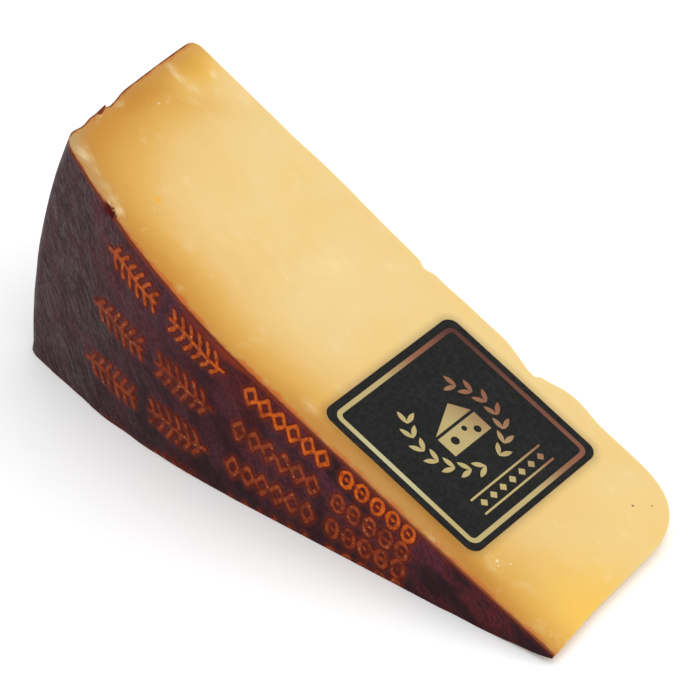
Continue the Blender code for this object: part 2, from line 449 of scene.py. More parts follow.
def addField(mesh, name, values):
    field = mesh.attributes.new(name, "FLOAT", "POINT")
    field.data.foreach_set("value", np.asarray(values, np.float32))


def addRelief(wedge):
    mesh = wedge.data
    points, normals = vectorsOf(mesh.vertices, "co"), vectorsOf(mesh.vertex_normals, "vector")
    radius, turn, y = placesOf(points)
    toRind, toCut, toBack, toTip = distances(radius, turn, y)
    coated = toRind < np.minimum.reduce((toCut, toBack, toTip))
    onFace = coated & (y < faceDepth(radius) + 0.5 * mm)

    # soft unevenness everywhere, with stronger ripples on the coating
    height = wedgeLook["wave"] * (noiseAt(points, wedgeLook["waveSize"], 3.0) - 0.6)
    ripple = np.where(coated, wedgeLook["coatingRipple"], wedgeLook["pasteRipple"])
    height += ripple * noiseAt(points, wedgeLook["rippleSize"], 8.0)

    # the stamped marks are pressed in
    field = np.full(len(points), stampLook["farthest"])
    field[onFace] = stampField(radius[onFace], turn[onFace])
    pressed = smoothStep(0.5 - field / 0.9)
    fade = smoothStep(toCut / (0.8 * mm))
    height -= wedgeLook["stampDepth"] * pressed * fade * onFace

    # the coating's lower edge is worn in waves
    lower = smoothStep(1.0 - radius * np.sin(turn) / wedgeLook["wearReach"]) * onFace
    waves = np.array([noise.noise(Vector((r / wedgeLook["wearLength"], 4.2, 0.3))) for r in radius])
    height -= wedgeLook["lowerEdgeWear"] * lower * np.clip(0.35 + waves, 0.0, 1.0)
    points = points + normals * height[:, None]

    # uneven places in the rim's upper edge
    fromUpper = radius * np.sin(wheel["angle"] - turn)
    nearUpper = smoothStep(1.0 - fromUpper / wedgeLook["rimHollowReach"])
    nearRim = smoothStep(1.0 - (rimRadius(y) - radius) / wedgeLook["rimHollowDepth"])
    outward = np.stack([-np.cos(turn), np.zeros_like(turn), np.sin(turn)], -1)
    for depth, hollow, before, after in wedgeLook["rimHollows"]:
        reach = np.where(y < depth, before, after)
        amount = hollow * smoothStep(1.0 - np.abs(y - depth) / reach) * nearUpper * nearRim
        points -= outward * amount[:, None]

    # the bite out of the coating's edge on the shoulder
    chip = wedgeLook["chip"]
    bite = 1.0 - np.sqrt(
        ((radius - chip["radius"]) / (chip["length"] / 2)) ** 2
        + ((y - faceDepth(radius)) / (1.6 * chip["depth"])) ** 2
        + (fromUpper / (1.9 * chip["depth"])) ** 2
    )
    bite = bite + chip["ragged"] * noiseAt(points, chip["raggedSize"], 5.0) * (bite > -0.4)
    bitten = smoothStep(bite * 1.6)
    points += np.array([0.0, 1.0, -0.6]) * (bitten * chip["depth"])[:, None]

    low, high = (np.array(corner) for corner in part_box("cheese_wedge"))
    setPoints(mesh, np.clip(points, low, high))

    # ochre and a veil beside the rind, and patches of their own on the upper cut
    upper = smoothStep((turn - 0.9 * wheel["angle"]) / (0.1 * wheel["angle"]))
    stains = {
        name: stainField(radius, y, pasteLook[name + "Stains"]) * upper
        for name in ("ochre", "veil", "yellow", "chalkAndGlint")
    }
    fields = {
        "stampDistance": field,
        "rindDistance": toRind / mm,
        "cutDistance": toCut / mm,
        "placeRadius": radius / mm,
        "placeTurn": np.degrees(turn),
        "placeDepth": y / mm,
        "chipMask": bitten,
        "ochre": np.clip(ochreField(radius, y) + stains["ochre"], 0.0, 1.0),
        "veil": np.clip(veilField(radius, y) + stains["veil"], 0.0, 1.0),
        "yellow": stains["yellow"],
        "chalkAndGlint": stains["chalkAndGlint"],
        # painted shadow beside the label
        "paintedLabelShadow": paintedLabelShadow(radius, y) * upper,
    }
    for name, values in fields.items():
        addField(mesh, name, values)


def setMaterials(wedge, paste, coating):
    # each face takes the finish of the surface that it lies nearest to
    mesh = wedge.data
    mesh.materials.append(paste)
    mesh.materials.append(coating)
    toRind, *toOthers = distances(*placesOf(vectorsOf(mesh.polygons, "center")))
    coated = toRind < np.minimum.reduce(toOthers)
    mesh.polygons.foreach_set("material_index", coated.astype(np.int32))
    mesh.shade_smooth()


# Material helpers; those that take a socket add their nodes to its node tree

def fillSockets(made, inputs):
    # links or sets a node's inputs, by name or number
    for name, value in inputs.items():
        if isinstance(value, bpy.types.NodeSocket):
            made.id_data.links.new(value, made.inputs[name])
        else:
            made.inputs[name].default_value = value


def addNode(tree, kind, inputs=None, **settings):
    made = tree.nodes.new(kind)
    for name, value in settings.items():
        setattr(made, name, value)
    fillSockets(made, inputs or {})
    return made


def colour(red, green, blue):
    # a screen colour from 0 to 255 as Blender's linear colour
    linear = []
    for part in (red, green, blue):
        part = part / 255
        linear.append(part / 12.92 if part <= 0.04045 else ((part + 0.055) / 1.055) ** 2.4)
    return (*linear, 1.0)


def maths(operation, first, second=0.0):
    made = addNode(first.id_data, "ShaderNodeMath", {0: first, 1: second}, operation=operation)
    return made.outputs[0]


def times(first, *others):
    for other in others:
        first = maths("MULTIPLY", first, other)
    return first


def plus(first, second):
    return maths("ADD", first, second)


def minus(first, second):
    return maths("SUBTRACT", first, second)


def ranged(value, low, high, start=0.0, end=1.0):
    sockets = {"Value": value, "From Min": low, "From Max": high, "To Min": start, "To Max": end}
    made = addNode(value.id_data, "ShaderNodeMapRange", sockets, interpolation_type="SMOOTHSTEP")
    return made.outputs["Result"]


def mixed(factor, first, second):
    sockets = {0: factor, 6: first, 7: second}
    return addNode(factor.id_data, "ShaderNodeMix", sockets, data_type="RGBA").outputs[2]


def noisy(vector, scale, detail=3.0, roughness=0.55):
    sockets = {"Vector": vector, "Scale": scale, "Detail": detail, "Roughness": roughness}
    return addNode(vector.id_data, "ShaderNodeTexNoise", sockets).outputs["Fac"]


def stretched(place, direction, factor):
    # squeezes places along a direction, so that noise read from them runs in streaks that way
    tree, kind = place.id_data, "ShaderNodeVectorMath"
    along = addNode(tree, kind, {0: place, 1: direction}, operation="DOT_PRODUCT").outputs["Value"]
    shift = times(along, 1.0 - factor)
    moved = addNode(tree, kind, {0: direction, "Scale": shift}, operation="SCALE").outputs[0]
    return addNode(tree, kind, {0: place, 1: moved}, operation="SUBTRACT").outputs[0]


def fieldNode(tree, name):
    return addNode(tree, "ShaderNodeAttribute", attribute_name=name).outputs["Fac"]


def placeNode(tree):
    return addNode(tree, "ShaderNodeTexCoord").outputs["Object"]


def newMaterial(name):
    material = bpy.data.materials.new(name)
    material.use_nodes = True
    tree = material.node_tree
    tree.nodes.clear()
    shader = addNode(tree, "ShaderNodeBsdfPrincipled")
    addNode(tree, "ShaderNodeOutputMaterial", {"Surface": shader.outputs[0]})
    return material, tree, shader


def buildGrainGroup():
    # fine unevenness for any surface: a height in 0..1 and a roughness
    tree = bpy.data.node_groups.new("fine grain", "ShaderNodeTree")
    tree.interface.new_socket("Vector", in_out="INPUT", socket_type="NodeSocketVector")
    for name in ("Size", "Rough Low", "Rough High"):
        tree.interface.new_socket(name, in_out="INPUT", socket_type="NodeSocketFloat")
    for name in ("Height", "Roughness"):
        tree.interface.new_socket(name, in_out="OUTPUT", socket_type="NodeSocketFloat")
    given = addNode(tree, "NodeGroupInput").outputs
    fine = noisy(given["Vector"], given["Size"], 4.0, 0.6)
    wide = noisy(given["Vector"], times(given["Size"], 0.17), 3.0, 0.5)
    height = plus(times(fine, 0.45), times(wide, 0.55))
    roughness = ranged(height, 0.35, 0.65, given["Rough Low"], given["Rough High"])
    addNode(tree, "NodeGroupOutput", {"Height": height, "Roughness": roughness})
    return tree


def finishSurface(shader, grain, place, body, look):
    # sets the colour, and the finish from a piece's values, and gives the grain's height
    low, high = look["roughness"]
    sockets = {"Vector": place, "Size": look["grainSize"], "Rough Low": low, "Rough High": high}
    made = addNode(place.id_data, "ShaderNodeGroup", sockets, node_tree=grain).outputs
    fillSockets(shader, {
        "Base Color": body,
        "Roughness": made["Roughness"],
        "Specular IOR Level": look["specular"],
    })
    return made["Height"]


def raiseSurface(shader, height, look):
    depth, strength = look["bump"]
    sockets = {"Height": height, "Distance": depth, "Strength": strength}
    bump = addNode(height.id_data, "ShaderNodeBump", sockets)
    fillSockets(shader, {"Normal": bump.outputs[0]})


# The paste

pasteLook = {
    "cream": colour(232, 202, 137),
    "warm": colour(231, 195, 122),
    "golden": colour(234, 188, 90),
    "ochre": colour(188, 122, 10),
    "yellow": colour(248, 198, 54),
    # the colour of the shadow painted beside the label
    "pressed": colour(70, 36, 12),
    "veil": colour(178, 150, 102),
    # a pale colour for chalky patches and for painted glints
    "chalkAndGlint": colour(246, 226, 182),
    "line": colour(92, 28, 4),
    "fringe": colour(186, 86, 5),
    "dot": colour(238, 170, 44),
    "pit": colour(110, 62, 24),
    "lineWidth": 0.44,         # mm
    "tipLineWidth": 0.72,
    "fringeWidth": 1.8,        # mm
    "shoulderFringeWidth": 1.1,
    "roughness": (0.40, 0.54),
    "grainSize": 900.0,
    "bump": (0.00012, 0.5),
    "specular": 0.22,
    "subsurface": 0.20,
    "subsurfaceColour": (1.0, 0.62, 0.28),
    "subsurfaceReach": 0.0035,
    "labelShadowReach": 2.6 * mm,    # how far the shadow painted on the paste beside the label reaches, and how dark it is
    "labelShadowStrength": 0.30,
    "brush": (0.92, 0.0, -0.38),   # the way that the chalky streaks run
    "pitDepth": 2.0,           # in the grain's heights
    # radius, depth y, reach along the radius, reach along y (all mm), strength
    "ochreStains": (
        (172.0, 53.0, 9.0, 7.0, -0.22),
        (174.3, 59.8, 8.0, 6.5, 0.08),
        (172.0, 64.0, 18.0, 14.0, -0.32),
        (176.0, 40.0, 7.0, 12.0, 0.12),
        (134.0, 8.0, 26.0, 9.0, 0.10),
        (176.4, 24.5, 1.3, 1.4, 0.50),
        # this patch darkens the strip between the label and the coated face: partly the ochre band,
        # partly painted shade
        (58.0, 3.6, 42.0, 6.5, 0.58),
        (8.0, 10.0, 20.0, 16.0, -0.18),
    ),
    # its one patch is painted shade on the strip between the label and the coated face
    "veilStains": ((60.0, 3.4, 44.0, 5.0, 0.38),),
    "yellowStains": (
        (8.0, 16.0, 26.0, 30.0, 0.62),
        (174.3, 59.8, 9.0, 7.5, 0.72),
        (17.0, 47.0, 15.0, 16.0, 0.15),
    ),
    # how far the ochre reaches from the coated face and from the rim (mm), and its strengths
    "faceReach": 10.0,
    "rimReach": 13.6,
    "faceOchre": 1.0,
    "rimOchre": 0.92,
    "ochreMost": 0.90,
    # the veil's reach (mm) and strength: near the tip and on the shoulder, at the rim, in the corner
    "shoulderAt": (142.0, 162.0),
    "veilReach": (1.9, 4.2),
    "veilStrength": (0.30, 0.60),
    "rimVeil": (3.0, 0.32),
    "cornerVeil": (7.0, 9.0, 0.20),
    # pale patches, partly chalky paste and partly painted glints, such as the one beside the chip
    "chalkAndGlintStains": (
        (169.8, 14.4, 4.4, 2.2, 0.60),
        (164.9, 13.4, 2.6, 1.3, 0.28),
        (160.5, 11.9, 3.2, 1.4, 0.22),
        (157.0, 10.6, 2.8, 1.3, 0.30),
        (156.2, 8.7, 1.1, 0.8, 0.80),
        (153.4, 9.3, 2.4, 1.6, 0.62),
        (148.9, 17.4, 0.9, 0.8, 0.35),
        (174.6, 53.5, 6.4, 0.9, 0.75),
        (177.0, 54.6, 3.0, 0.9, 0.50),
        (169.2, 54.6, 4.0, 0.6, 0.35),
        (169.8, 62.0, 1.6, 1.6, 0.55),
        (177.2, 26.9, 1.1, 1.7, 0.75),
        (112.0, 43.0, 11.0, 7.0, 0.22),
        (87.0, 5.4, 4.0, 2.2, 0.35),
        (120.0, 28.0, 50.0, 26.0, 0.12),
    ),
    # radius, depth y, size (mm)
    "dots": ((150.2, 19.9, 0.90),),
    "pits": ((20.6, 50.6, 0.30), (17.6, 54.7, 0.20)),
    "paleSpots": ((31.4, 9.9, 0.38), (30.3, 9.1, 0.22), (28.8, 11.9, 0.24)),
}


def stainField(radius, y, stains):
    # soft patches on the upper cut, as strengths that add up
    total = np.zeros_like(radius)
    for r0, y0, reachR, reachY, strength in stains:
        away = np.hypot((radius / mm - r0) / reachR, (y / mm - y0) / reachY)
        total = total + strength * smoothStep(1.0 - away)
    return total


def ochreField(radius, y):
    # how ochre the paste is by its distance from the coated face and from the rim, from 0 to 1
    toFace = np.maximum(0.0, (y - faceDepth(radius)) / mm)
    toRim = np.maximum(0.0, (rimRadius(y) - radius) / mm)
    fromFace = pasteLook["faceOchre"] * np.exp(-toFace / pasteLook["faceReach"])
    fromRim = pasteLook["rimOchre"] * np.exp(-((toRim / pasteLook["rimReach"]) ** 1.5))
    return pasteLook["ochreMost"] * (1.0 - (1.0 - fromFace) * (1.0 - fromRim))


def veilField(radius, y):
    # a dull greyish veil right beside the coating on the shoulder and the rim, from 0 to 1
    toFace = (y - faceDepth(radius)) / mm
    toRim = (rimRadius(y) - radius) / mm
    onShoulder = smoothStep(np.interp(radius / mm, pasteLook["shoulderAt"], (0, 1)))
    reach, strength = (
        np.interp(onShoulder, (0, 1), pasteLook[name]) for name in ("veilReach", "veilStrength")
    )
    veil = strength * np.exp(-((toFace / reach) ** 2))
    reach, strength = pasteLook["rimVeil"]
    veil += strength * np.exp(-((toRim / reach) ** 2))
    rimReach, faceReach, strength = pasteLook["cornerVeil"]
    veil += strength * np.exp(-((toRim / rimReach) ** 2) - (toFace / faceReach) ** 2)
    return np.clip(veil, 0.0, 1.0)


def paintedLabelShadow(radius, y):
    # how near a place on the upper cut is to the label's edge, from 0 to 1, for the shadow painted there
    corner = labelLook["corner"]
    overR = np.maximum(0.0, np.abs(radius - labelLook["radius"]) - labelLook["length"] / 2 + corner)
    overY = np.maximum(0.0, np.abs(y - labelLook["depth"]) - labelLook["width"] / 2 + corner)
    away = np.maximum(0.0, np.hypot(overR, overY) - corner)
    return smoothStep(1.0 - away / pasteLook["labelShadowReach"])


def spotMask(tree, spots, softness, strength=1.0):
    # small round spots on the upper cut, drawn from the radius and depth fields
    fields = fieldNode(tree, "placeRadius"), fieldNode(tree, "placeDepth")
    mask = 0.0
    for *middle, size in spots:
        offs = [maths("ABSOLUTE", minus(field, at)) for field, at in zip(fields, middle)]
        squares = [maths("POWER", off, 2.0) for off in offs]
        away = maths("SQRT", plus(*squares))
        mask = plus(ranged(away, size * (1 - softness), size * (1 + softness), 1.0, 0.0), mask)
    upper = ranged(fieldNode(tree, "placeTurn"), 21.0, 22.0)
    return times(times(mask, strength), upper)


def tornMask(tree, place, share=1.0):
    # the ragged inside of the chip in the coating's edge
    tears = ranged(noisy(place, 900.0, 3.0, 0.6), 0.36, 0.62, 0.4, 2.0)
    torn = times(times(fieldNode(tree, "chipMask"), share), tears)
    return ranged(torn, 0.16, 0.30)


def buildPaste(grain):
    material, tree, shader = newMaterial("cheese paste")
    place = placeNode(tree)
    rind = fieldNode(tree, "rindDistance")
    radius = fieldNode(tree, "placeRadius")
    look = pasteLook

    broad = noisy(place, 34.0, 4.0, 0.55)
    cloudy = noisy(place, 150.0, 4.0, 0.6)
    body = mixed(ranged(broad, 0.38, 0.66, 0.0, 0.8), look["cream"], look["warm"])

    # yellow, ochre and chalky patches, broken up a little; some of the pale patches are painted glints
    body = mixed(fieldNode(tree, "yellow"), body, look["yellow"])
    ochre = times(fieldNode(tree, "ochre"), ranged(broad, 0.2, 0.6, 0.85, 1.1))
    body = mixed(ranged(ochre, 0.0, 0.45, 0.0, 0.75), body, look["golden"])
    body = mixed(ochre, body, look["ochre"])
    body = mixed(fieldNode(tree, "veil"), body, look["veil"])
    brushed = stretched(place, look["brush"], 0.3)
    broken = ranged(noisy(brushed, 520.0, 4.0, 0.6), 0.34, 0.62, 0.3, 1.0)
    chalkAndGlint = plus(times(fieldNode(tree, "chalkAndGlint"), broken), ranged(cloudy, 0.55, 0.8, 0.0, 0.25))
    body = mixed(chalkAndGlint, body, look["chalkAndGlint"])

    # fine pale specks, an orange dot, a few pale spots and two pits
    specks = addNode(tree, "ShaderNodeTexVoronoi", {"Vector": place, "Scale": 95.0})
    speck = ranged(specks.outputs["Distance"], 0.02, 0.055, 0.45, 0.0)
    chosen = addNode(tree, "ShaderNodeSeparateColor", {0: specks.outputs["Color"]}).outputs[0]
    speck = times(speck, ranged(chosen, 0.45, 0.6))
    body = mixed(speck, body, look["chalkAndGlint"])
    body = mixed(spotMask(tree, look["dots"], softness=0.7, strength=0.6), body, look["dot"])
    body = mixed(spotMask(tree, look["paleSpots"], softness=0.5, strength=0.7), body, look["chalkAndGlint"])
    pits = spotMask(tree, look["pits"], softness=0.35)
    body = mixed(times(pits, 0.75), body, look["pit"])

    # a painted shadow: the paste is painted darker beside the label's edge
    labelShadowMask = times(fieldNode(tree, "paintedLabelShadow"), look["labelShadowStrength"])
    body = mixed(labelShadowMask, body, look["pressed"])

    # the brown stain and the dark line of the rind's edge
    wobble = noisy(place, 430.0, 4.0, 0.6)
    patchy = noisy(place, 130.0, 3.0, 0.6)
    distance = plus(rind, times(minus(wobble, 0.5), 0.8))
    width = ranged(radius, 148.0, 160.0, look["fringeWidth"], look["shoulderFringeWidth"])
    reach = times(ranged(patchy, 0.34, 0.66, 0.6, 1.4), width)
    stain = times(
        ranged(distance, times(reach, 0.4), reach, 0.85, 0.0),
        ranged(patchy, 0.34, 0.60, 0.5, 1.0),
        ranged(radius, 145.0, 160.0, 1.0, 0.6),
        ranged(radius, 30.0, 110.0, 0.7, 1.0),
    )
    body = mixed(stain, body, look["fringe"])
    width = ranged(radius, 60.0, 115.0, look["tipLineWidth"], look["lineWidth"])
    line = ranged(maths("DIVIDE", distance, width), 0.5, 1.15, 0.85, 0.0)
    body = mixed(line, body, look["line"])
    body = mixed(tornMask(tree, place, 0.5), body, coatingLook["chip"])

    height = finishSurface(shader, grain, place, body, look)
    raiseSurface(shader, minus(height, times(pits, look["pitDepth"])), look)
    fillSockets(shader, {
        "Subsurface Weight": look["subsurface"],
        "Subsurface Radius": look["subsurfaceColour"],
        "Subsurface Scale": look["subsurfaceReach"],
    })
    return material


# The coating

coatingLook = {
    "dark": colour(38, 16, 22),
    "brown": colour(73, 35, 43),
    "red": colour(98, 30, 30),
    # paints the shoulder's sheen, with the scratches in it
    "sheenAndScratchGrey": colour(82, 68, 70),
    "low": colour(34, 22, 24),
    "purple": colour(88, 36, 56),
    "line": colour(66, 18, 4),
    "glow": colour(136, 48, 8),
    "outline": colour(52, 8, 6),
    "inkBright": colour(204, 94, 16),
    "inkDull": colour(124, 56, 32),
    "inkEdge": colour(124, 38, 12),
    "glint": colour(255, 190, 116),
    "chip": colour(80, 20, 16),
    "chipRed": colour(118, 40, 30),
    "roughness": (0.36, 0.54),
    "grainSize": 1100.0,
    "bump": (0.00022, 0.7),
    "specular": 0.045,
    "streak": (0.64, 0.0, -0.77),  # the way that the scratches run
}


def buildCoating(grain):
    material, tree, shader = newMaterial("cheese coating")
    place = placeNode(tree)
    radius = fieldNode(tree, "placeRadius")
    turn = fieldNode(tree, "placeTurn")
    cut = fieldNode(tree, "cutDistance")
    look = coatingLook

    # scratches and soft patches that both run aslant down the face
    scratches = noisy(stretched(place, look["streak"], 0.13), 800.0, 4.0, 0.7)
    smeared = stretched(place, look["streak"], 0.5)
    mottle = noisy(smeared, 170.0, 4.0, 0.6)
    broad = noisy(smeared, 75.0, 3.0, 0.5)

    body = mixed(ranged(mottle, 0.38, 0.64), look["dark"], look["brown"])
    body = mixed(ranged(radius, 15.0, 75.0, 0.55, 0.0), body, look["dark"])
    nearTip = times(ranged(radius, 20.0, 85.0, 0.72, 0.0), ranged(mottle, 0.46, 0.62))
    nearCut = times(ranged(broad, 0.43, 0.62), ranged(turn, 12.0, 22.0, 0.2, 0.65))
    body = mixed(maths("MAXIMUM", nearTip, nearCut), body, look["red"])
    blots = ranged(noisy(smeared, 130.0, 2.0, 0.5), 0.50, 0.64, 0.0, 0.65)
    blots = times(blots, ranged(turn, 8.0, 20.0, 0.3, 1.0))
    body = mixed(blots, body, look["purple"])
    body = mixed(ranged(turn, 0.0, 9.0, 0.55, 0.0), body, look["low"])
    # painted sheen: the shoulder's grey reflection is painted into the colour, broken up by the scratches
    # that run across it
    shoulder = times(
        ranged(radius, 112.0, 165.0, 0.1, 0.95),
        ranged(scratches, 0.43, 0.60, 0.25, 1.0),
        ranged(broad, 0.42, 0.60, 1.0, 0.70),
    )
    body = mixed(shoulder, body, look["sheenAndScratchGrey"])
    specks = noisy(stretched(place, look["streak"], 0.6), 1500.0, 3.0, 0.6)
    body = mixed(ranged(specks, 0.40, 0.60, 0.55, 0.0), body, look["dark"])

    # the stamped ornament, brightest near the upper cut and towards the tip
    worn = minus(noisy(place, 650.0, 4.0, 0.65), 0.5)
    distance = plus(fieldNode(tree, "stampDistance"), worn)
    fresh = times(ranged(radius, 60.0, 165.0, 1.0, 0.45), ranged(turn, 13.5, 18.5, 0.1, 1.0))
    body = mixed(ranged(distance, 0.1, 1.4, 0.28, 0.0), body, look["glow"])
    body = mixed(ranged(distance, 0.05, 0.5, 0.7, 0.0), body, look["outline"])
    ink = mixed(fresh, look["inkDull"], look["inkBright"])
    uneven = noisy(place, 480.0, 4.0, 0.65)
    ink = mixed(ranged(uneven, 0.36, 0.56, 0.65, 0.0), ink, look["inkEdge"])
    ink = mixed(ranged(distance, -0.40, 0.0), ink, look["inkEdge"])
    # painted highlights: small glints in the ink
    glints = ranged(noisy(place, 1300.0, 3.0, 0.6), 0.58, 0.68, 0.0, 0.6)
    inside = ranged(distance, -0.45, -0.15, 1.0, 0.0)
    ink = mixed(times(glints, inside), ink, look["glint"])
    leastInk = ranged(fresh, 0.1, 0.7, 0.25, 0.75)
    gaps = ranged(noisy(place, 330.0, 4.0, 0.65), 0.36, 0.56, leastInk, 1.0)
    stamp = ranged(distance, -0.12, 0.18, 1.0, 0.0)
    body = mixed(times(stamp, gaps), body, ink)

    # a thin dark line along the cuts, a reddish glow inside it, and the chip
    wobble = minus(noisy(place, 500.0, 3.0, 0.6), 0.5)
    edge = plus(cut, times(wobble, 0.6))
    fromLozenges = maths("ABSOLUTE", minus(radius, 115.0))
    glowReach = ranged(fromLozenges, 4.0, 15.0, 4.2, 1.3)
    glow = times(
        ranged(edge, 0.3, glowReach, 0.8, 0.0),
        ranged(broad, 0.36, 0.60, 0.6, 1.0),
        ranged(radius, 55.0, 115.0, 0.35, 1.0),
        ranged(turn, 2.0, 12.0, 0.1, 1.0),
    )
    body = mixed(glow, body, look["glow"])
    body = mixed(ranged(edge, 0.10, 0.36, 0.5, 0.0), body, look["line"])
    crumbs = noisy(place, 1100.0, 4.0, 0.7)
    broken = mixed(ranged(crumbs, 0.56, 0.66), look["chip"], look["chipRed"])
    body = mixed(tornMask(tree, place), body, broken)

    height = finishSurface(shader, grain, place, body, look)
    scratched = times(scratches, ranged(radius, 60.0, 150.0, 0.3, 1.1))
    raiseSurface(shader, plus(height, scratched), look)
    return material


# The label

labelLook = {
    "radius": 0.0600,
    "depth": 0.0311,
    "width": 0.0492,
    "length": 0.0488,
    "corner": 0.0030,
    "cells": 60,
    "thickness": 0.00026,
    "bottom": -0.00004,        # the label is pressed onto the cut
    "edgeBevel": 0.00006,
    "ground": colour(15, 15, 14),
    "groundLight": colour(32, 33, 31),
    "roughness": (0.36, 0.50),
    "grainSize": 1500.0,
    "bump": (0.00010, 0.5),
    "specular": 0.12,
}


outOfCut = Vector((math.sin(wheel["angle"]), 0.0, math.cos(wheel["angle"])))


def onLabel(height):
    # a frame on the upper cut: its X to the back cut, its Y to the rim, its Z out of the cut
    place = Vector(onAxis(labelLook["radius"], labelLook["depth"], wheel["angle"]))
    toRim = (-math.cos(wheel["angle"]), 0.0, math.sin(wheel["angle"]))
    return frameAt(place + outOfCut * height, (0.0, 1.0, 0.0), toRim)


def buildLabel(material):
    cells = labelLook["cells"]
    halfX, halfY, corner = labelLook["width"] / 2, labelLook["length"] / 2, labelLook["corner"]
    steps = np.linspace(-1, 1, cells + 1)
    x, y = np.meshgrid(steps * halfX, steps * halfY, indexing="ij")
    # cells beyond a corner's centre are drawn onto a quarter disc
    a = np.clip((np.abs(x) - (halfX - corner)) / corner, 0, 1)
    b = np.clip((np.abs(y) - (halfY - corner)) / corner, 0, 1)
    x = np.sign(x) * (np.minimum(np.abs(x), halfX - corner) + corner * a * np.sqrt(1 - b * b / 2))
    y = np.sign(y) * (np.minimum(np.abs(y), halfY - corner) + corner * b * np.sqrt(1 - a * a / 2))
    points = np.stack([x, y, np.zeros_like(x)], -1).reshape(-1, 3)
    index = np.arange(len(points)).reshape(cells + 1, cells + 1)
    mesh = bpy.data.meshes.new("label")
    mesh.from_pydata(points.tolist(), [], gridQuads(index.T).tolist())
    label = newObject("label_sheet", mesh)
    thick = label.modifiers.new("thickness", "SOLIDIFY")
    thick.thickness = labelLook["thickness"]
    thick.offset = 1.0
    softenEdges(label, labelLook["edgeBevel"])
    label.data.transform(onLabel(labelLook["bottom"]))
    label.data.materials.append(material)
    label.data.shade_smooth()
    return label


def buildLabelMaterial(grain):
    material, tree, shader = newMaterial("label ground")
    place = placeNode(tree)
    cloud = noisy(place, 900.0, 5.0, 0.7)
    wide = noisy(place, 90.0, 3.0, 0.5)
    mask = times(ranged(cloud, 0.36, 0.66), ranged(wide, 0.3, 0.65, 0.6, 1.0))
    body = mixed(mask, labelLook["ground"], labelLook["groundLight"])
    raiseSurface(shader, finishSurface(shader, grain, place, body, labelLook), labelLook)
    return material


# The gold foil on the label

foilLook = {
    "lift": 0.00001,
    "thickness": 0.00002,
    # all of these are mm; the frame's outer edge as X to the back cut and Y to the rim
    "frameLow": (-22.8, -22.8),
    "frameHigh": (22.7, 22.3),
    "frameWidth": 1.3,
    "frameCorner": 2.4,
    "frameInnerCorner": 1.2,
    "sprigCentre": 2.0,        # Y of the middle of the sprigs' ring
    "sprigRadius": 12.2,
    "leaf": (3.9, 1.35),       # length and width
    "rule": (27.0, 0.55),
    "rulesAt": (-14.0, -18.6),
    "lozengesAt": -16.3,
    "lozengePitch": 3.7,
    "lozenge": (2.3, 2.3),
    "gold": colour(178, 160, 108),
    "copper": colour(136, 88, 66),
    "maroon": colour(82, 46, 39),
    # the colour of the highlight painted on the foil
    "highlightGold": colour(184, 180, 140),
    "metallic": 0.75,
    "roughness": (0.30, 0.42),
    "grainSize": 1800.0,
    "specular": 0.5,
}


def roundedLoop(low, high, corner):
    points = []
    for quarter in range(4):
        x = low[0] + corner if quarter in (1, 2) else high[0] - corner
        y = low[1] + corner if quarter in (2, 3) else high[1] - corner
        for i in range(7):
            angle = math.radians(90 * quarter + 15 * i)
            points.append((x + corner * math.cos(angle), y + corner * math.sin(angle)))
    return points


def disc(x, y, radius):
    sides = 28
    steps = [2 * math.pi * i / sides for i in range(sides)]
    return [(x + radius * math.cos(a), y + radius * math.sin(a)) for a in steps]


def leaf(x, y, angle, length, width):
    # a pointed leaf from its foot at x, y
    steps = [i / 8 for i in range(9)]
    upper = [(t * length, width / 2 * math.sin(math.pi * t) ** 0.8) for t in steps]
    points = upper + [(px, -py) for px, py in upper[7:0:-1]]
    c, s = math.cos(angle), math.sin(angle)
    return [(x + px * c - py * s, y + px * s + py * c) for px, py in points]


def bar(x, y, width, height):
    w, h = width / 2, height / 2
    return [(x - w, y - h), (x + w, y - h), (x + w, y + h), (x - w, y + h)]


def lozenge(x, y, width, height):
    return [(x - width / 2, y), (x, y - height / 2), (x + width / 2, y), (x, y + height / 2)]


def foilLoops():
    # closed lines in mm on the label: X to the back, Y to the rim. A loop inside another is a hole.
    low, high, width = foilLook["frameLow"], foilLook["frameHigh"], foilLook["frameWidth"]
    innerLow, innerHigh = [at + width for at in low], [at - width for at in high]
    loops = [
        roundedLoop(low, high, foilLook["frameCorner"]),
        roundedLoop(innerLow, innerHigh, foilLook["frameInnerCorner"]),
    ]
    # a small wedge of cheese with three eyes
    loops += [[(-6.6, 2.9), (3.6, 7.6), (7.0, 2.9)], bar(0.2, -0.75, 14.0, 5.7)]
    loops += [disc(-3.3, -0.6, 1.15), disc(1.4, 0.4, 0.75), disc(4.1, -1.7, 1.0)]
    # two sprigs that meet below it
    for side in (-1, 1):
        for i in range(7):
            angle = math.radians(-78 + 19.5 * i)
            x = side * foilLook["sprigRadius"] * math.cos(angle)
            y = foilLook["sprigCentre"] + foilLook["sprigRadius"] * math.sin(angle)
            for lean in (0.55, -0.6):
                tilt = angle + math.pi / 2 - lean
                loops.append(leaf(x, y, tilt if side > 0 else math.pi - tilt, *foilLook["leaf"]))
    # a row of lozenges between two rules
    loops += [bar(0, y, *foilLook["rule"]) for y in foilLook["rulesAt"]]
    for i in range(-3, 4):
        loops.append(lozenge(i * foilLook["lozengePitch"], foilLook["lozengesAt"], *foilLook["lozenge"]))
    return loops


